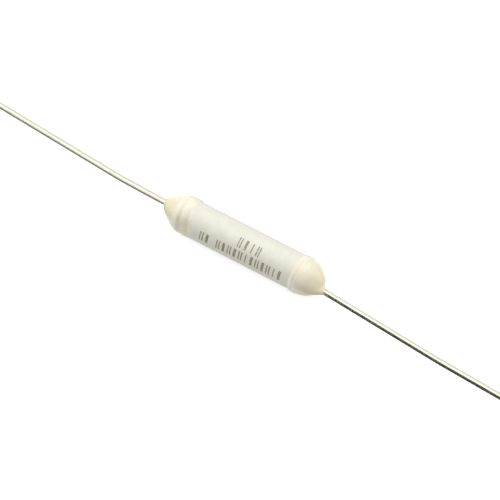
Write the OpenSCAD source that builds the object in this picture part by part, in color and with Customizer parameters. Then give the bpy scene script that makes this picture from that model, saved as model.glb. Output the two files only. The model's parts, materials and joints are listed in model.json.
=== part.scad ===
// Axial thermal fuse: a low-melting alloy link sealed in a ceramic tube between two wire leads.
// Millimetres. The origin is the middle of the tube, on its axis. +X runs along the tube, and +Z is up
// as the part lies on a flat surface, resting on the collars of its seals and on its lead tips.

/* [Ceramic tube] */
// Outside diameter of the tube
tube_d = 3.5; // [3.2:0.05:5]
// Bore of the tube
tube_bore = 2.2; // [2:0.05:2.5]
// Length of the tube
tube_len = 12.6; // [11:0.1:20]
// Rounding of the edges of the tube's ends
tube_edge_r = 0.15; // [0.05:0.01:0.25]

/* [End seals] */
// Length of the left dome, from the tube's end to its nose
left_dome_len = 2.25; // [1.9:0.05:3]
// Length of the right dome, from the tube's end to its nose
right_dome_len = 2.15; // [1.9:0.05:3]
// Radius of the left dome's round nose
left_nose_r = 1; // [0.8:0.05:1.2]
// Radius of the right dome's round nose
right_nose_r = 1.2; // [0.8:0.05:1.3]
// Thickness of the dome's skin past the tube's outside, at the tube's end
skin_t = 0.04; // [0.02:0.01:0.08]
// Greatest thickness of the collar that has crept over the tube
collar_t = 0.11; // [0.1:0.01:0.2]
// Length of the left collar
left_collar_len = 1.05; // [0.4:0.05:2]
// Length of the right collar
right_collar_len = 0.75; // [0.4:0.05:2]
// Depth of the plug inside the bore
plug_len = 1.6; // [1:0.1:2]
// How far the plug's inner face is dished
plug_dish = 0.25; // [0.1:0.05:0.4]
// Length of the cone of epoxy that climbs each lead
climb_len = 1.55; // [1.2:0.05:1.8]
// How far that cone reaches past the nose of the dome
climb_past = 0.3; // [0.1:0.05:0.4]
// Diameter of that cone's foot, inside the dome
climb_foot_d = 2.6; // [1.8:0.05:2.9]

/* [Leads] */
// Diameter of the lead wire
lead_d = 0.6; // [0.5:0.05:0.8]
// Length of each lead outside its seal
lead_len = 38; // [30:1:60]
// Angle between the left lead and the tube inside the seal, in plan
left_swing_in = 2.7; // [0:0.1:4]
// Angle between the left lead and the tube past its bend, in plan
left_swing_out = 5.3; // [4.5:0.1:8]
// Distance from the seal to the left lead's bend
left_bend_at = 4.2; // [0.5:0.1:8]
// Angle between the right lead and the tube inside the seal, in plan
right_swing_in = 3.5; // [3:0.1:4.5]
// Angle between the right lead and the tube past its bend, in plan
right_swing_out = 2; // [0:0.1:2.5]
// Distance from the seal to the right lead's bend
right_bend_at = 12; // [2:0.1:15]
// Radius of each bend, at the middle of the wire
bend_r = 40; // [10:1:80]

/* [Fuse element] */
// Gap between the lead ends, which the link bridges
link_gap = 4; // [3:0.1:5]
// Diameter of the link
link_d = 0.7; // [0.4:0.05:0.8]
// Diameter of the bead at each end of the link
bead_d = 1; // [0.9:0.05:1.2]
// Diameter of the flux coat
flux_d = 1.8; // [1.5:0.05:1.9]
// Length of the flux coat
flux_len = 6; // [5.6:0.1:7]
// Rounding of the flux coat's edges
flux_edge_r = 0.35; // [0.1:0.05:0.4]

/* [Hidden] */
$fn = 64;

tube_r = tube_d / 2;
bore_r = tube_bore / 2;
lead_r = lead_d / 2;
weld_x = link_gap / 2;
dome_r = tube_r + skin_t;
collar_r = tube_r + collar_t;
// The collar ends in a round rim as thick as the collar stands proud
rim_r = collar_t;
// The film is this thick where it stops on the tube
film_edge_t = collar_t / 3;
// The plug is cut to the bore by the tube itself, so it starts a little wider
plug_r = (bore_r + tube_r) / 2;
// The wall of epoxy left round the lead at the end of the climbing cone
climb_lip = 0.06;
// A bend is this much thicker than the wire, and the straight runs reach this far into it
bend_swell = 0.004;
bend_lap = 0.15;

// Bends the children's frame so that what is drawn along +Z runs along +X
module along_x() {
    rotate([0, 90, 0]) children();
}

// Draws an end's children, which are drawn for the right end, at the left end
module at_left() {
    rotate([0, 0, 180]) children();
}

// Rectangle with rounded corners
module rounded_rect(size, r) {
    translate([r, 0]) square([size.x - 2 * r, size.y]);
    translate([0, r]) square([size.x, size.y - 2 * r]);
    for (x = [r, size.x - r], y = [r, size.y - r])
        translate([x, y]) circle(r);
}

module tube_shape() {
    along_x() rotate_extrude()
        translate([bore_r, -tube_len / 2])
            rounded_rect([tube_r - bore_r, tube_len], tube_edge_r);
}

// Straight length of wire along +X
module wire(length) {
    along_x() cylinder(r = lead_r, h = length);
}

// Wire bent by an angle towards -Y, then straight for a length
module bent_wire(angle, length) {
    translate([0, -bend_r, 0]) {
        rotate([0, 0, 90 - angle]) rotate_extrude(angle = angle, $fn = 720)
            translate([bend_r, 0]) circle(lead_r + bend_swell);
        rotate([0, 0, -angle]) translate([-bend_lap, bend_r, 0]) wire(length + bend_lap);
    }
}

function arc_len(angle) = bend_r * abs(angle) * PI / 180;

// Length of wire from the weld to the bend, and from the bend to the tip
function run_in(dome_len, bend_at) = tube_len / 2 + dome_len + bend_at - weld_x;
function run_out(bend_at, turn) = lead_len - bend_at - arc_len(turn);

// Distance along the tube's axis from the weld to the lead's tip
function reach(swing_in, swing_out, dome_len, bend_at) =
    run_in(dome_len, bend_at) * cos(swing_in)
    + bend_r * abs(sin(swing_out) - sin(swing_in))
    + run_out(bend_at, swing_out - swing_in) * cos(swing_out);

// Angle below the horizontal at which a lead's tip comes down to the surface under the collars
function dip(reach) = asin((collar_r - lead_r) / reach);

left_dip = dip(reach(left_swing_in, left_swing_out, left_dome_len, left_bend_at));
right_dip = dip(reach(right_swing_in, right_swing_out, right_dome_len, right_bend_at));

// Places children drawn along +X on the lead's inner run, which starts at the weld
module on_lead(dip, swing) {
    translate([weld_x, 0, 0]) rotate([0, dip, 0]) rotate([0, 0, -swing]) children();
}

module lead_shape(dip, swing_in, swing_out, dome_len, bend_at) {
    inner = run_in(dome_len, bend_at);
    turn = swing_out - swing_in;
    on_lead(dip, swing_in) {
        wire(inner + bend_lap);
        translate([inner, 0, 0]) mirror([0, turn < 0 ? 1 : 0, 0])
            bent_wire(abs(turn), run_out(bend_at, turn));
    }
}

module left_lead_shape() {
    at_left()
        lead_shape(left_dip, left_swing_in, left_swing_out, left_dome_len, left_bend_at);
}

module right_lead_shape() {
    lead_shape(right_dip, right_swing_in, right_swing_out, right_dome_len, right_bend_at);
}

// Points along a round stretch of an outline
function arc(centre, r, from, to, steps) =
    [for (i = [0 : steps])
        let (angle = from + (to - from) * i / steps)
        centre + r * [cos(angle), sin(angle)]];

// Half outline of a seal, from the plug's dished inner face, round the collar and its rim, to the dome.
// The dome is a shoulder round the middle of the tube's end and a smaller round nose, and the straight
// flank between them touches both. Heights are from the tube's end.
function seal_outline(nose_r, length, collar_len) =
    let (dish_r = (bore_r * bore_r + plug_dish * plug_dish) / (2 * plug_dish),
         dish_edge = acos(bore_r / dish_r),
         rim_end = acos((dome_r - collar_r + rim_r) / rim_r),
         nose_y = length - nose_r,
         flank = asin((dome_r - nose_r) / nose_y))
    concat(arc([0, plug_dish - plug_len - dish_r], dish_r, 90, dish_edge, 6),
           [[plug_r, -plug_len], [plug_r, -collar_len], [tube_r + film_edge_t, -collar_len]],
           arc([collar_r - rim_r, -rim_r], rim_r, 0, rim_end, 4),
           arc([0, 0], dome_r, 0, flank, 8),
           arc([0, nose_y], nose_r, flank, 90, 8));

// Right-hand seal before the tube and the lead are cut out of it
module seal_body(nose_r, length, collar_len, dip, swing) {
    translate([tube_len / 2, 0, 0]) along_x()
        rotate_extrude() polygon(seal_outline(nose_r, length, collar_len));
    on_lead(dip, swing)
        translate([tube_len / 2 - weld_x + length + climb_past - climb_len, 0, 0])
            along_x() cylinder(r1 = climb_foot_d / 2, r2 = lead_r + climb_lip, h = climb_len);
}

module ceramic_tube() {
    color([0.93, 0.93, 0.9]) tube_shape();
}

module seal_left() {
    color([0.92, 0.89, 0.77]) difference() {
        at_left()
            seal_body(left_nose_r, left_dome_len, left_collar_len, left_dip, left_swing_in);
        tube_shape();
        left_lead_shape();
    }
}

module seal_right() {
    color([0.92, 0.89, 0.77]) difference() {
        seal_body(right_nose_r, right_dome_len, right_collar_len, right_dip, right_swing_in);
        tube_shape();
        right_lead_shape();
    }
}

module lead_left() {
    color([0.8, 0.8, 0.76]) left_lead_shape();
}

module lead_right() {
    color([0.8, 0.8, 0.76]) right_lead_shape();
}

// Bar of alloy between two beads
module link_shape() {
    translate([-weld_x, 0, 0]) along_x() cylinder(d = link_d, h = link_gap);
    for (x = [-weld_x, weld_x])
        translate([x, 0, 0]) sphere(d = bead_d);
}

module fusible_link() {
    color([0.62, 0.63, 0.66]) difference() {
        link_shape();
        left_lead_shape();
        right_lead_shape();
    }
}

module flux_coat() {
    color([0.8, 0.58, 0.24]) difference() {
        along_x() rotate_extrude() intersection() {
            translate([-flux_d / 2, -flux_len / 2]) rounded_rect([flux_d, flux_len], flux_edge_r);
            translate([0, -flux_len / 2]) square([flux_d / 2, flux_len]);
        }
        link_shape();
        left_lead_shape();
        right_lead_shape();
    }
}

ceramic_tube();
seal_left();
seal_right();
lead_left();
lead_right();
fusible_link();
flux_coat();
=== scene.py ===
# Looks of an axial thermal fuse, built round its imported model.
# Shapes are worked out in millimetres in the model's frame, and scaled to metres as meshes are made.
import json
import math

import bmesh
import bpy
from mathutils import Matrix, Vector, noise


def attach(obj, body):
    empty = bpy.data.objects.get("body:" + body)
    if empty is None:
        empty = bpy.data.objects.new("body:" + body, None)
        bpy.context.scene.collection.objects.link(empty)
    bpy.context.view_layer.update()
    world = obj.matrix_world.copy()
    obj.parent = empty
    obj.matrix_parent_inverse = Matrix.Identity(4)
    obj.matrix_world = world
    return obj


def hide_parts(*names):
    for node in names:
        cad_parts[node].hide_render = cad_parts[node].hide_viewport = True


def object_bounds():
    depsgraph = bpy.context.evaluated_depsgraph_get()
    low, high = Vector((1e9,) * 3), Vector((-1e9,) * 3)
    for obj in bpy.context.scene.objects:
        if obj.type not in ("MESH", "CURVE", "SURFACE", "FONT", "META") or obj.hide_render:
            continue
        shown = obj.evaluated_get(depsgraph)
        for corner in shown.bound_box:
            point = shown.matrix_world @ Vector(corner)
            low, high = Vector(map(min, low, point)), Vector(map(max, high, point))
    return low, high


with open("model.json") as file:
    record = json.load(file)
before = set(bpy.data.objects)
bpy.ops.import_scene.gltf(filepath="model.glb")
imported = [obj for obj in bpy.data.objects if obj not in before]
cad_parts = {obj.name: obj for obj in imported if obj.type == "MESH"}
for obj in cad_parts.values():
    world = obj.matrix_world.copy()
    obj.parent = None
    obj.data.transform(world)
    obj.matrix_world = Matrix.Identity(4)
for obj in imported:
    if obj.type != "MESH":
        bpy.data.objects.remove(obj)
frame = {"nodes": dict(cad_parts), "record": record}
cad_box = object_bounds()

MM = 0.001
BODY = "root"
SHARP_ANGLE = math.radians(40)
# Mesh attributes that the epoxy reads: height past the tube's end, and share of painted shade
HEIGHT = "height"
PAINTED_SHADE = "painted_shade"

# Sizes taken from the frame
tube_points = [v.co / MM for v in frame["nodes"]["ceramic_tube"].data.vertices]
TUBE_END = max(p.x for p in tube_points)
TUBE_R = max(math.hypot(p.y, p.z) for p in tube_points)
BORE_R = min(math.hypot(p.y, p.z) for p in tube_points)
LEAD_MOUNTS = {m["name"]: m for m in frame["record"]["mounts"]}
LEAD_R = LEAD_MOUNTS["lead_left"]["dims"]["r_mm"]
FLOOR_Z = cad_box[0].z / MM

# Sizes repeated from the model's source
WELD_X = 2.0
BEND_R = 40.0
TUBE_EDGE_R = 0.15
PLUG_LEN = 1.6
SKIN_T = 0.04
CLIMB_LEN = 1.55

# The epoxy's finer forms
CLIMB_LIP = 0.02    # wall left round the lead where the climbing cone ends
FILM_LEAST = 0.01   # thinnest film on the tube
FILM_SINK = 0.005   # how far the film's edge goes into the tube
LEAD_BITE = 0.009   # how far the seal goes into the lead
STEP_WIDTH = 0.2    # width of the step from film to dome
LUMP_FADE = 0.6     # length over which lumps die out towards the lead
RISE_START = -0.1   # where the film's edge starts to rise, as a share of edge_round
BEAD_PLACE = 1.2    # where the film's bead is highest, as a share of edge_round
SECOND_WAVE = 0.4   # share of the shorter wave in the film's uneven edge
FOLD_DEEP = 0.05    # depth of a fold that gets the full painted shade
SHADE_PATCH_FOCUS = 12    # how tightly the patch of painted shade is gathered round its angle

# What differs between the two ends. Places run outwards from the tube's end, and angles are in degrees
# round the tube from +Y.
# side: end of the X axis. turn: the lead's bend.
# dome: its height. shoulder_r and nose_r: its round shoulder and nose.
# foot: radius of the cone that climbs the lead. past: how far it goes beyond the nose.
# blend: the fill of the hollow between cone and dome.
# slump and lean: how far the seal and its nose sit off the tube's axis, in Y and Z.
# collar: the film's length. film: its thickness. edge_round: length in which its edge rises.
# bead: how far that edge stands proud. fade: length in which it takes the epoxy's colour.
# wobble: unevenness of the film's edge. lump: unevenness of the skin. phase: where both patterns start.
# shade_patch: a patch of painted shade on the front, as place, strength, width and angle.
# slant: how far the ripples slide along the tube as they go round it, and where they lie farthest out.
# ripples: each as place, height, which is negative for a fold, width, angle at which it is highest, and
# the share of it that is left on the other side.
ENDS = {
    "left": dict(
        side=-1, turn=2.6,
        dome=2.28, shoulder_r=1.2, nose_r=1.0,
        foot=1.1, past=0.07, blend=0.2,
        slump=(0.03, 0.02), lean=(0.215, 0.12),
        collar=1.22, film=0.07, edge_round=0.4, bead=0.015, fade=0.5,
        wobble=0.18, lump=0.03, phase=1.8,
        shade_patch=(-0.5, 0.5, 0.4, 155),
        slant=(0.18, 75),
        ripples=((-0.14, -0.055, 0.19, 165, 0.12), (-0.5, 0.02, 0.15, 165, 0.4),
                 (-0.88, -0.045, 0.2, 168, 0.0)),
    ),
    "right": dict(
        side=1, turn=1.5,
        dome=2.12, shoulder_r=1.79, nose_r=1.1,
        foot=1.2, past=0.3, blend=0.3,
        slump=(-0.025, 0.0), lean=(-0.03, 0.0),
        collar=0.78, film=0.06, edge_round=0.22, bead=0.01, fade=0.2,
        wobble=0.1, lump=0.012, phase=0.3,
        shade_patch=(0.75, 0.75, 0.7, 148),
        slant=(0.03, 75),
        ripples=((-0.1, 0.035, 0.28, 150, 1.0), (-0.32, -0.022, 0.13, 130, 0.5)),
    ),
}

# The photograph's view of the tube's middle
VIEW_AZIMUTH = math.radians(31.1)
VIEW_ELEVATION = math.radians(58)
VIEW_DISTANCE = 300.0
IMAGE_SIZE = 500
PIXELS_PER_MM = 11.0
TUBE_PIXEL = (244.4, 244.8)
NEAR_CLIP = 0.01    # share of the distance at which the view starts


# Mesh building

def ring_angles(count):
    """Angles of evenly spaced points round a ring."""
    return [2 * math.pi * i / count for i in range(count)]


def circle(x, radius, centre=(0.0, 0.0), count=128):
    """Ring of points round a centre given in Y and Z, in the plane across the tube at x."""
    return [Vector((x, centre[0] + radius * math.cos(a), centre[1] + radius * math.sin(a)))
            for a in ring_angles(count)]


def skin(rings, closed):
    """Points and faces over rings of equal count.

    A closed skin joins the last ring to the first, and an open one is capped at both ends.
    """
    count = len(rings[0])
    last = len(rings) - 1
    points = [p for ring in rings for p in ring]
    steps = [(i, i + 1) for i in range(last)]
    if closed:
        steps.append((last, 0))
    faces = []
    for a, b in steps:
        for i in range(count):
            j = (i + 1) % count
            faces.append((a * count + i, a * count + j, b * count + j, b * count + i))
    if not closed:
        faces.append(tuple(range(count)))
        faces.append(tuple(last * count + i for i in range(count)))
    return points, faces


def make_piece(name, skins, material, replaced=None, attributes=None):
    """One object of the given skins, riding on the body.

    Attributes go to the material, each as a list with one number for each point.
    """
    points = []
    faces = []
    for skin_points, skin_faces in skins:
        start = len(points)
        points += skin_points
        faces += [tuple(start + i for i in face) for face in skin_faces]
    mesh = bpy.data.meshes.new(name)
    mesh.from_pydata([p * MM for p in points], [], faces)
    shape = bmesh.new()
    shape.from_mesh(mesh)
    bmesh.ops.recalc_face_normals(shape, faces=shape.faces)
    shape.to_mesh(mesh)
    shape.free()
    for attribute, values in (attributes or {}).items():
        mesh.attributes.new(attribute, "FLOAT", "POINT").data.foreach_set("value", values)
    mesh.shade_smooth()
    mesh.set_sharp_from_angle(angle=SHARP_ANGLE)
    mesh.materials.append(material)
    piece = bpy.data.objects.new(name, mesh)
    bpy.context.scene.collection.objects.link(piece)
    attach(piece, BODY)
    if replaced:
        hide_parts(replaced)


def smooth_step(low, high, value):
    t = min(1.0, max(0.0, (value - low) / (high - low)))
    return t * t * (3 - 2 * t)


def bump(value, middle, width):
    return math.exp(-((value - middle) / width) ** 2)


def smooth_max(a, b, blend):
    """The greater of two numbers, raised where they are closer than the blend."""
    near = max(0.0, blend - abs(a - b))
    return max(a, b) + (near ** 2 / (4 * blend) if near else 0.0)


# Node building

def add_node(tree, kind, values=None, **settings):
    """Adds a node. Values are keyed by socket, and each is a number, a colour or a socket to link."""
    made = tree.nodes.new(kind)
    for name, value in settings.items():
        setattr(made, name, value)
    for socket, value in (values or {}).items():
        if isinstance(value, bpy.types.NodeSocket):
            tree.links.new(value, made.inputs[socket])
        else:
            made.inputs[socket].default_value = value
    return made


def add_ramp(tree, factor, stops):
    """Colour ramp through stops of position and grey or colour."""
    made = add_node(tree, "ShaderNodeValToRGB", {"Fac": factor})
    elements = made.color_ramp.elements
    while len(elements) < len(stops):
        elements.new(0.5)
    for element, (position, colour) in zip(elements, stops):
        element.position = position
        grey = isinstance(colour, (int, float))
        element.color = (colour, colour, colour, 1) if grey else (*colour, 1)
    return made.outputs["Color"]


def add_noise(tree, vector, scale, detail=3.0, roughness=0.5):
    values = {"Vector": vector, "Scale": scale, "Detail": detail, "Roughness": roughness}
    return add_node(tree, "ShaderNodeTexNoise", values).outputs["Fac"]


def add_mix(tree, factor, a, b, blend_type="MIX"):
    """Mix of two colours."""
    values = {0: factor, 6: a, 7: b}
    return add_node(tree, "ShaderNodeMix", values, data_type="RGBA", blend_type=blend_type).outputs[2]


def add_math(tree, operation, *values):
    made = add_node(tree, "ShaderNodeMath", dict(enumerate(values)), operation=operation)
    return made.outputs[0]


def add_range(tree, value, low, high):
    """Smooth 0 to 1 as a value goes from low to high."""
    values = {"Value": value, "From Min": low, "From Max": high}
    made = add_node(tree, "ShaderNodeMapRange", values, interpolation_type="SMOOTHSTEP")
    return made.outputs["Result"]


def new_material(name, **sockets):
    """Material with one Principled shader.

    Returns the material, its tree, the shader and object coordinates in millimetres.
    """
    material = bpy.data.materials.new(name)
    material.use_nodes = True
    tree = material.node_tree
    shader = tree.nodes["Principled BSDF"]
    for socket, value in sockets.items():
        shader.inputs[socket.replace("_", " ")].default_value = value
    place = add_node(tree, "ShaderNodeTexCoord").outputs["Object"]
    scaled = add_node(tree, "ShaderNodeVectorMath", {0: place, 1: (1 / MM,) * 3}, operation="MULTIPLY")
    return material, tree, shader, scaled.outputs[0]


def set_bump(tree, shader, height, depth_mm):
    relief = add_node(tree, "ShaderNodeBump", {"Height": height, "Distance": depth_mm * MM})
    tree.links.new(relief.outputs["Normal"], shader.inputs["Normal"])


# Materials

CERAMIC_LIGHT = (0.872, 0.855, 0.74)
CERAMIC_DARK = (0.823, 0.808, 0.692)


def ceramic_material():
    """Fired ceramic, faintly mottled, with a fine grain and a soft sheen."""
    material, tree, shader, place = new_material("ceramic", IOR=1.5)
    mottle = add_noise(tree, place, 1.6)
    clouds = add_ramp(tree, mottle, [(0.3, CERAMIC_DARK), (0.65, CERAMIC_LIGHT)])
    specks = add_ramp(tree, add_noise(tree, place, 14.0, detail=1.0), [(0.22, 0.86), (0.3, 1.0)])
    colour = add_mix(tree, 1.0, clouds, specks, "MULTIPLY")
    tree.links.new(colour, shader.inputs["Base Color"])
    grain = add_noise(tree, place, 22.0, detail=4.0)
    tree.links.new(add_ramp(tree, grain, [(0.3, 0.36), (0.7, 0.5)]), shader.inputs["Roughness"])
    set_bump(tree, shader, grain, 0.006)
    return material


EPOXY_LIGHT = (0.99, 0.955, 0.78)
EPOXY_DARK = (0.94, 0.87, 0.67)
NOSE_TINT = (0.985, 0.965, 0.85)
# Colour that multiplies the epoxy for the painted shade in its folds and on its front
PAINTED_SHADE_TINT = (0.76, 0.73, 0.69)
NOSE_RANGE = (0.2, 1.6)     # heights between which the nose's tint comes in
FILM_WAVE = 0.5     # how far the mottling moves the film's colour, as a share of fade


def epoxy_material(end):
    """Ivory epoxy, cloudy and yellower at the thick nose, with painted shade in its folds and on its
    front.
    """
    material, tree, shader, place = new_material("epoxy_" + end, IOR=1.55)
    sizes = ENDS[end]
    height = add_node(tree, "ShaderNodeAttribute", attribute_name=HEIGHT).outputs["Fac"]
    mottle = add_noise(tree, place, 0.9)
    clouds = add_ramp(tree, mottle, [(0.32, EPOXY_DARK), (0.62, EPOXY_LIGHT)])
    nosed = add_mix(tree, add_range(tree, height, *NOSE_RANGE), clouds, (*NOSE_TINT, 1), "MULTIPLY")
    # Painted shade: the colour is made darker in the folds and on the front, unevenly
    painted_shade = add_node(tree, "ShaderNodeAttribute", attribute_name=PAINTED_SHADE).outputs["Fac"]
    patches = add_ramp(tree, add_noise(tree, place, 1.1), [(0.35, 0.5), (0.65, 1.0)])
    uneven = add_math(tree, "MULTIPLY", painted_shade, patches)
    painted_shaded = add_mix(tree, uneven, nosed, (*PAINTED_SHADE_TINT, 1), "MULTIPLY")
    wave = add_math(tree, "MULTIPLY", mottle, FILM_WAVE * sizes["fade"])
    edge = -sizes["collar"]
    film = add_range(tree, add_math(tree, "ADD", height, wave), edge, edge + sizes["fade"])
    tree.links.new(add_mix(tree, film, (*CERAMIC_LIGHT, 1), painted_shaded), shader.inputs["Base Color"])
    skin_grain = add_noise(tree, place, 2.2)
    tree.links.new(add_ramp(tree, skin_grain, [(0.3, 0.2), (0.7, 0.32)]), shader.inputs["Roughness"])
    set_bump(tree, shader, skin_grain, 0.006)
    return material


TIN_LIGHT = (0.75, 0.75, 0.625)
TIN_DARK = (0.67, 0.67, 0.545)
DRAWN_SCALE = (0.35, 14.0, 14.0)    # scale of the drawing lines' noise along X, Y and Z


def tin_material():
    """Tinned copper wire: bright, with faint drawing lines along it and a slight ripple in the tin."""
    material, tree, shader, place = new_material("tinned_wire", Metallic=1.0)
    drawn = add_node(tree, "ShaderNodeVectorMath", {0: place, 1: DRAWN_SCALE}, operation="MULTIPLY")
    lines = add_noise(tree, drawn.outputs[0], 1.0, detail=2.0)
    ripple = add_noise(tree, place, 2.4, detail=2.0)
    colour = add_ramp(tree, lines, [(0.3, TIN_DARK), (0.62, TIN_LIGHT)])
    tree.links.new(colour, shader.inputs["Base Color"])
    tree.links.new(add_ramp(tree, ripple, [(0.3, 0.14), (0.7, 0.24)]), shader.inputs["Roughness"])
    set_bump(tree, shader, add_math(tree, "ADD", lines, ripple), 0.004)
    return material


INK_DARK = (0.21, 0.187, 0.112)
INK_THIN = (0.335, 0.3, 0.2)
INK_WORN = (0.64, 0.595, 0.455)


def ink_material():
    """Grey-brown marking ink, printed thin and a little worn."""
    material, tree, shader, place = new_material("ink", IOR=1.45)
    wear = add_noise(tree, place, 5.5, detail=4.0, roughness=0.6)
    colour = add_ramp(tree, wear, [(0.34, INK_DARK), (0.52, INK_THIN), (0.7, INK_WORN)])
    tree.links.new(colour, shader.inputs["Base Color"])
    tree.links.new(add_ramp(tree, wear, [(0.3, 0.45), (0.7, 0.6)]), shader.inputs["Roughness"])
    return material


ALLOY_LIGHT = (0.68, 0.69, 0.72)
ALLOY_DARK = (0.5, 0.5, 0.53)


def alloy_material():
    """Low-melting alloy: dull grey metal with a cast grain."""
    material, tree, shader, place = new_material("alloy", Metallic=1.0)
    grain = add_noise(tree, place, 6.0, detail=4.0)
    colour = add_ramp(tree, grain, [(0.3, ALLOY_DARK), (0.7, ALLOY_LIGHT)])
    tree.links.new(colour, shader.inputs["Base Color"])
    tree.links.new(add_ramp(tree, grain, [(0.3, 0.3), (0.7, 0.45)]), shader.inputs["Roughness"])
    set_bump(tree, shader, grain, 0.01)
    return material


FLUX_LIGHT = (0.74, 0.47, 0.14)
FLUX_DARK = (0.5, 0.26, 0.05)
FLUX_GLOW_DEPTH = 0.6   # how far light spreads in the resin


def flux_material():
    """Amber flux resin, clouded and glossy."""
    material, tree, shader, place = new_material("flux", IOR=1.54, Subsurface_Weight=0.4,
                                                 Subsurface_Scale=FLUX_GLOW_DEPTH * MM)
    clouds = add_noise(tree, place, 1.8, detail=4.0)
    colour = add_ramp(tree, clouds, [(0.3, FLUX_DARK), (0.7, FLUX_LIGHT)])
    tree.links.new(colour, shader.inputs["Base Color"])
    tree.links.new(add_ramp(tree, clouds, [(0.3, 0.12), (0.7, 0.25)]), shader.inputs["Roughness"])
    return material


# Ceramic tube

def tube_rings(edge_steps=6):
    """Closed run of rings round the wall's section, with rounded edges."""
    end = TUBE_END - TUBE_EDGE_R
    outer = TUBE_R - TUBE_EDGE_R
    inner = BORE_R + TUBE_EDGE_R
    # Each corner's middle, and the angle at which its quarter round starts
    corners = [(end, outer, 90), (end, inner, 0), (-end, inner, -90), (-end, outer, -180)]
    rings = []
    for x, r, first in corners:
        for i in range(edge_steps + 1):
            angle = math.radians(first - 90 * i / edge_steps)
            rings.append(circle(x + TUBE_EDGE_R * math.cos(angle), r + TUBE_EDGE_R * math.sin(angle)))
    return rings


# Leads

def lead_path(end, bend_steps=24):
    """Middle of the wire from the weld, round its slight bend, to the tip."""
    mount = LEAD_MOUNTS["lead_" + end]
    middle = Vector(mount["pos_m"]) / MM
    outward = Vector(mount["axis"]).normalized()
    half_run = outward * mount["dims"]["length_mm"] / 2
    weld = Vector((ENDS[end]["side"] * WELD_X, 0, 0))
    bend_reach = BEND_R * math.tan(math.radians(ENDS[end]["turn"]) / 2)
    bend_end = middle - half_run
    corner = bend_end - outward * bend_reach
    bend_start = corner - (corner - weld).normalized() * bend_reach
    path = [weld]
    for i in range(bend_steps + 1):
        t = i / bend_steps
        path.append(bend_start * (1 - t) ** 2 + corner * 2 * t * (1 - t) + bend_end * t ** 2)
    path.append(middle + half_run)
    return path


def lead_rings(end, sides=64, end_bevel=0.05):
    """Rings along the wire, with the bevel that a cutter leaves at the tip."""
    path = lead_path(end)
    tip_back = (path[-2] - path[-1]).normalized() * end_bevel
    stations = [(p, LEAD_R) for p in path[:-1]]
    stations += [(path[-1] + tip_back, LEAD_R), (path[-1], LEAD_R - end_bevel)]
    rings = []
    for i, (point, radius) in enumerate(stations):
        # The two stations at the tip follow the direction of the last run
        before = path[max(0, min(i, len(path) - 1) - 1)]
        after = path[min(len(path) - 1, i + 1)]
        along = (after - before).normalized()
        across = along.cross(Vector((0, 0, 1))).normalized()
        lift = across.cross(along)
        rings.append([point + (across * math.cos(a) + lift * math.sin(a)) * radius
                      for a in ring_angles(sides)])
    return rings


# Epoxy seals

def dome_radius(end, u):
    """Radius of a dome at a height past the tube's end: round shoulder, straight flank, round nose."""
    sizes = ENDS[end]
    shoulder_r = sizes["shoulder_r"]
    nose_r = sizes["nose_r"]
    shoulder_at = TUBE_R + SKIN_T - shoulder_r
    nose_at = sizes["dome"] - nose_r
    lean = math.atan2(shoulder_at, nose_at)
    flank = lean + math.asin((shoulder_r - nose_r) / math.hypot(shoulder_at, nose_at))
    if u < shoulder_r * math.sin(flank):
        return shoulder_at + math.sqrt(shoulder_r ** 2 - u ** 2)
    if u < nose_at + nose_r * math.sin(flank):
        return shoulder_at + (shoulder_r - u * math.sin(flank)) / math.cos(flank)
    return math.sqrt(max(0.0, nose_r ** 2 - (u - nose_at) ** 2))


def ripple_heights(end, u, angle):
    """Height of each ripple at a place past the tube's end and an angle round the tube."""
    slide, farthest = ENDS[end]["slant"]
    from_end = u - slide * math.cos(angle - math.radians(farthest))
    heights = []
    for at, height, width, highest, least in ENDS[end]["ripples"]:
        near = (0.5 + 0.5 * math.cos(angle - math.radians(highest))) ** 2
        heights.append(height * (least + (1 - least) * near) * bump(from_end, at, width))
    return heights


def painted_shade_share(end, u, angle):
    """Share of painted shade on the epoxy, from 0 to 1: darker in its folds and in a patch on its front.
    """
    # Patch of painted shade on the front, which the light from above reaches less
    at, strength, width, middle = ENDS[end]["shade_patch"]
    near = (0.5 + 0.5 * math.cos(angle - math.radians(middle))) ** SHADE_PATCH_FOCUS
    fold = -sum(height for height in ripple_heights(end, u, angle) if height < 0)
    return min(1.0, smooth_step(0.0, FOLD_DEEP, fold) + strength * near * bump(u, at, width))


def body_radius(end, u, angle):
    """Radius of the film on the tube and of the dome past it, with the film's bead and the ripples."""
    sizes = ENDS[end]
    edge_round = sizes["edge_round"]
    film = TUBE_R + sizes["film"] * smooth_step(RISE_START * edge_round, edge_round, u + sizes["collar"])
    step = (sizes["film"] - SKIN_T) * bump(u, 0, STEP_WIDTH)
    bead = sizes["bead"] * bump(u + sizes["collar"], BEAD_PLACE * edge_round, edge_round)
    smooth = film if u < 0 else dome_radius(end, u) + step
    return smooth + bead + sum(ripple_heights(end, u, angle))


def climb_radius(end, u):
    """Radius of the cone of epoxy that climbs the lead, round the lead's own axis."""
    sizes = ENDS[end]
    share = (sizes["dome"] + sizes["past"] - u) / CLIMB_LEN
    return LEAD_R + CLIMB_LIP + (sizes["foot"] - LEAD_R) * min(1.0, share)


def exit_distance(start, direction, centre, radius):
    """How far a ray in the plane across the tube runs before it leaves a circle, or 0 where it misses."""
    offset = start - centre
    along = offset.dot(direction)
    inside = along ** 2 - offset.length_squared + radius ** 2
    return max(0.0, math.sqrt(inside) - along) if inside > 0 else 0.0


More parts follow.
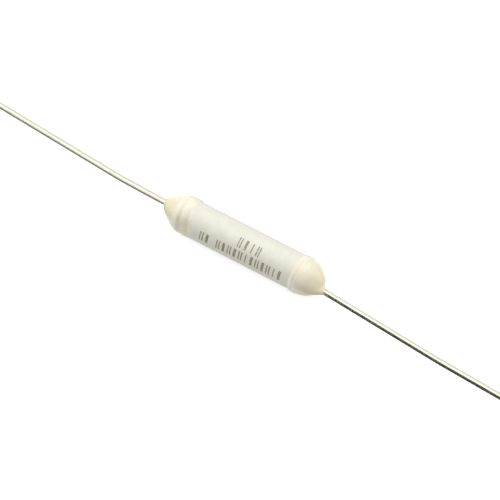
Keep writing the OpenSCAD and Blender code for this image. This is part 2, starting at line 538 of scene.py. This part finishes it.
def seal_rings(end, count=160, film_steps=40, dome_steps=72):
    """Closed run of rings, each with its height past the tube's end.

    They cover the outside from the film's edge to the lead, then go back along lead, plug and tube.
    """
    sizes = ENDS[end]
    side = sizes["side"]
    weld, bend_start = lead_path(end)[:2]
    lead_slope = (bend_start - weld) / (bend_start.x - weld.x)
    climb_end = sizes["dome"] + sizes["past"]
    slump = Vector(sizes["slump"])
    lean = Vector(sizes["lean"])

    def lead_centre(u):
        return (weld + lead_slope * (side * (TUBE_END + u) - weld.x)).yz

    def edge_shift(u, angle):
        """How far the uneven film edge runs past its mean, fading out towards the tube's end."""
        waves = math.sin(angle + sizes["phase"]) + SECOND_WAVE * math.sin(2 * angle + 3 * sizes["phase"])
        return sizes["wobble"] * waves * smooth_step(0.0, sizes["collar"], -u)

    def outside_ring(u):
        """Ring of points where rays from near the lead leave both the dome and the climbing cone."""
        start = lead_centre(u) * smooth_step(0.0, sizes["dome"], u)
        past_edge = smooth_step(0.0, sizes["edge_round"], u + sizes["collar"])
        before_end = smooth_step(0.0, LUMP_FADE, climb_end - u)
        dome_centre = slump.lerp(lean, max(0.0, u / sizes["dome"]) ** 3) * past_edge
        ring = []
        for angle in ring_angles(count):
            out = Vector((math.cos(angle), math.sin(angle)))
            dome = exit_distance(start, out, dome_centre, body_radius(end, u, angle))
            climb = exit_distance(start, out, lead_centre(u), climb_radius(end, u))
            x = side * (TUBE_END + u + edge_shift(u, angle))
            lump = sizes["lump"] * noise.noise(Vector((x + sizes["phase"], *(out * TUBE_R))))
            reach = smooth_max(dome, climb, sizes["blend"]) + lump * past_edge * before_end
            # On the tube the film never gets so thin that the ceramic shows through
            if u < 0:
                reach = smooth_max(reach, TUBE_R + FILM_LEAST, 2 * FILM_LEAST)
            y, z = start + out * reach
            ring.append(Vector((x, y, z)))
        return u, ring

    def inside_ring(u, radius, centre=(0.0, 0.0)):
        return u, circle(side * (TUBE_END + u), radius, centre, count)

    rings = [outside_ring(-sizes["collar"] * (1 - i / film_steps)) for i in range(film_steps)]
    rings += [outside_ring(climb_end * i / dome_steps) for i in range(dome_steps + 1)]
    inner_r = LEAD_R - LEAD_BITE
    rings += [inside_ring(climb_end, inner_r, lead_centre(climb_end))]
    rings += [inside_ring(-PLUG_LEN, inner_r, lead_centre(-PLUG_LEN))]
    rings += [inside_ring(-PLUG_LEN, BORE_R), inside_ring(0, BORE_R), inside_ring(0, TUBE_R)]
    film_edge = [p.copy() for p in rings[0][1]]
    for p in film_edge:
        p.yz *= (TUBE_R - FILM_SINK) / p.yz.length
    rings.append((-sizes["collar"], film_edge))
    return rings


# Print: plain upright bars in two rows

# Left and right edges of each mark's bars, as shares of a cell
MARKS = {
    "thin": [(0.38, 0.62)],
    "twin": [(0.08, 0.34), (0.66, 0.92)],
    "bar": [(0.22, 0.78)],
    "gap": [],
}
PRINT_H = 0.95
# Each row: first x, cell width, pitch, angle of its middle round the tube from +Y, and its marks
PRINT_ROWS = [
    (-3.85, 0.46, 0.585, 157,
     "twin bar gap twin bar twin bar twin thin bar twin bar twin thin bar".split()),
    (-0.15, 0.42, 0.64, 118, "twin bar thin twin".split()),
]
# How far the ink stands on the tube, and how far its plate goes into it
INK_T = 0.006
INK_SINK = 0.03


def ink_bar(left, right, foot, head, steps=8):
    """Thin curved plate of ink on the tube, from left to right and between two angles round the tube."""
    at_left = Vector((left, 0, 0))
    at_right = Vector((right, 0, 0))
    rings = []
    for i in range(steps + 1):
        angle = foot + (head - foot) * i / steps
        out = Vector((0, math.cos(angle), math.sin(angle)))
        low = out * (TUBE_R - INK_SINK)
        high = out * (TUBE_R + INK_T)
        rings.append([low + at_left, low + at_right, high + at_right, high + at_left])
    return skin(rings, closed=False)


def print_bars():
    bars = []
    for first_x, width, pitch, middle, marks in PRINT_ROWS:
        foot = math.radians(middle) + PRINT_H / TUBE_R / 2
        head = foot - PRINT_H / TUBE_R
        for i, mark in enumerate(marks):
            x = first_x + i * pitch
            for left, right in MARKS[mark]:
                bars.append(ink_bar(x + left * width, x + right * width, foot, head))
    return bars


# The object

tin = tin_material()
make_piece("tube_body", [skin(tube_rings(), closed=True)], ceramic_material(), "ceramic_tube")
for end in ENDS:
    seal = seal_rings(end)
    seal_skin = skin([ring for u, ring in seal], closed=True)
    heights = [u for u, ring in seal for point in ring]
    # Share of painted shade at each point of the seal, in its folds and on its front
    painted_shade = [painted_shade_share(end, u, angle) for u, ring in seal for angle in ring_angles(len(ring))]
    make_piece("end_seal_" + end, [seal_skin], epoxy_material(end), "seal_" + end,
               {HEIGHT: heights, PAINTED_SHADE: painted_shade})
    lead_skin = skin(lead_rings(end), closed=False)
    make_piece("wire_lead_" + end, [lead_skin], tin, "lead_" + end)
make_piece("print_marks", print_bars(), ink_material())
for node_name, material in (("fusible_link", alloy_material()), ("flux_coat", flux_material())):
    node_mesh = frame["nodes"][node_name].data
    node_mesh.materials.clear()
    node_mesh.materials.append(material)


# Floor, backdrop and light

AMBIENT = 0.5
FLOOR_COLOUR = 0.65
FLOOR_GLOW = 0.7
CARD_Z = FLOOR_Z + 0.01
# Cards that shade the bright wire and the body's upper edge, as a room would. Each is its middle, its
# half width and half height as vectors, its brightness, and whether it also keeps the room's light off
# the object.
CARDS = {
    "left_edge": ((-40.0, -13.0, CARD_Z), (30.5, 0, 0), (0, 17.0, 0), 0.28, False),
    "right_edge": ((35.5, -16.0, CARD_Z), (31.5, 0, 0), (4.85, 17.0, 0), 0.05, False),
    "front_dark": ((0.0, -100.0, 44.0), (25.0, 0, 0), (0, 0, 44.0), 0.03, True),
    "front_dim": ((-35.0, -100.0, 44.0), (10.0, 0, 0), (0, 0, 44.0), 0.03, False),
    "front_soft": ((-95.0, -100.0, 57.0), (50.0, 0, 0), (0, 0, 27.0), 1.3, False),
    "front_low": ((-95.0, -100.0, 15.0), (50.0, 0, 0), (0, 0, 15.0), 0.28, False),
    "back_edge": ((-6.4, 21.0, CARD_Z), (8.4, 0, 0), (-5.4, 19.0, 0), 0.52, False),
    "back_grey": ((0.0, 120.0, 160.0), (200.0, 0, 0), (0, 0, 160.0), 0.92, False),
    "top_soft": ((-45.0, 60.0, 330.0), (330.0, 0, 0), (0, 330.0, 0), 1.4, False),
    "left_grey": ((-180.0, 0.0, 40.0), (0, 70.0, 0), (0, 0, 40.0), 0.5, False),
    "right_grey": ((180.0, 0.0, 40.0), (0, 70.0, 0), (0, 0, 40.0), 0.5, False),
}
# Lamps: direction from the tube's middle, distance, width and power
LAMPS = {
    "key": ((-0.15, 0.2, 1.0), 420.0, 600.0, 1.38),
    "fill": ((-1.0, 0.05, 0.25), 300.0, 140.0, 0.085),
    "rim": ((1.0, 0.45, 0.2), 300.0, 140.0, 0.05),
}


def seen_directly(tree):
    """One for rays that show the background: camera, glossy and transmission rays."""
    rays = add_node(tree, "ShaderNodeLightPath").outputs
    direct = add_math(tree, "MAXIMUM", rays["Is Camera Ray"], rays["Is Glossy Ray"])
    return add_math(tree, "MAXIMUM", direct, rays["Is Transmission Ray"])


def make_world():
    """White to what looks at it, and a softer even light on the object."""
    world = bpy.data.worlds.new("studio")
    world.use_nodes = True
    tree = world.node_tree
    values = {"Value": seen_directly(tree), "To Min": AMBIENT, "To Max": 1.0}
    strength = add_node(tree, "ShaderNodeMapRange", values)
    background = tree.nodes["Background"]
    tree.links.new(strength.outputs["Result"], background.inputs["Strength"])
    background.inputs["Color"].default_value = (1, 1, 1, 1)
    bpy.context.scene.world = world


def make_plane(name, middle, across, along, material):
    """Stage rectangle round a middle, with two vectors to the middles of its sides."""
    mesh = bpy.data.meshes.new(name)
    corners = [(-1, -1), (1, -1), (1, 1), (-1, 1)]
    points = [Vector(middle) + Vector(across) * a + Vector(along) * b for a, b in corners]
    mesh.from_pydata([p * MM for p in points], [], [(0, 1, 2, 3)])
    mesh.materials.append(material)
    plane = bpy.data.objects.new(name, mesh)
    bpy.context.scene.collection.objects.link(plane)
    return plane


def make_floor(half_width=2000.0):
    """Pale floor that keeps the object's shadow and reads as white."""
    material = bpy.data.materials.new("floor")
    material.use_nodes = True
    tree = material.node_tree
    tree.nodes.remove(tree.nodes["Principled BSDF"])
    matte = add_node(tree, "ShaderNodeBsdfDiffuse", {"Color": (FLOOR_COLOUR,) * 3 + (1,)})
    glow = add_math(tree, "MULTIPLY", seen_directly(tree), FLOOR_GLOW)
    light = add_node(tree, "ShaderNodeEmission", {"Strength": glow})
    both = add_node(tree, "ShaderNodeAddShader", {0: matte.outputs[0], 1: light.outputs[0]})
    tree.links.new(both.outputs[0], tree.nodes["Material Output"].inputs["Surface"])
    make_plane("floor", (0, 0, FLOOR_Z), (half_width, 0, 0), (0, half_width, 0), material)


def make_card(name, middle, across, along, brightness, shades):
    """Card that only reflections show, unless it also shades the object."""
    material = bpy.data.materials.new(name)
    material.use_nodes = True
    tree = material.node_tree
    tree.nodes.remove(tree.nodes["Principled BSDF"])
    light = add_node(tree, "ShaderNodeEmission", {"Strength": brightness})
    tree.links.new(light.outputs[0], tree.nodes["Material Output"].inputs["Surface"])
    card = make_plane(name, middle, across, along, material)
    card.visible_camera = False
    card.visible_diffuse = shades
    card.visible_transmission = False
    card.visible_shadow = False


def make_lamp(name, direction, distance, width, power):
    """Soft square lamp that faces the tube's middle from a direction."""
    lamp = bpy.data.lights.new(name, "AREA")
    lamp.shape = "SQUARE"
    lamp.size = width * MM
    lamp.energy = power
    away = Vector(direction).normalized()
    stand = bpy.data.objects.new(name, lamp)
    stand.location = away * distance * MM
    stand.rotation_mode = "QUATERNION"
    stand.rotation_quaternion = away.to_track_quat("Z", "Y")
    bpy.context.scene.collection.objects.link(stand)


def make_camera():
    """Camera at the photograph's view, with the tube's middle at its pixel there."""
    right = Vector((math.cos(VIEW_AZIMUTH), math.sin(VIEW_AZIMUTH), 0))
    back = Vector((math.sin(VIEW_AZIMUTH) * math.cos(VIEW_ELEVATION),
                   -math.cos(VIEW_AZIMUTH) * math.cos(VIEW_ELEVATION), math.sin(VIEW_ELEVATION)))
    up = back.cross(right)
    middle = IMAGE_SIZE / 2
    aim = (right * (middle - TUBE_PIXEL[0]) - up * (middle - TUBE_PIXEL[1])) / PIXELS_PER_MM
    lens = bpy.data.cameras.new("camera")
    lens.lens = lens.sensor_width * VIEW_DISTANCE * PIXELS_PER_MM / IMAGE_SIZE
    lens.clip_start = VIEW_DISTANCE * MM * NEAR_CLIP
    camera = bpy.data.objects.new("camera", lens)
    turn = Matrix((right, up, back)).transposed().to_4x4()
    camera.matrix_world = Matrix.Translation((aim + back * VIEW_DISTANCE) * MM) @ turn
    bpy.context.scene.collection.objects.link(camera)
    bpy.context.scene.camera = camera


make_world()
make_floor()
for card_name, card in CARDS.items():
    make_card(card_name, *card)
for lamp_name, lamp in LAMPS.items():
    make_lamp(lamp_name, *lamp)
make_camera()
bpy.context.scene.view_settings.view_transform = "Standard"
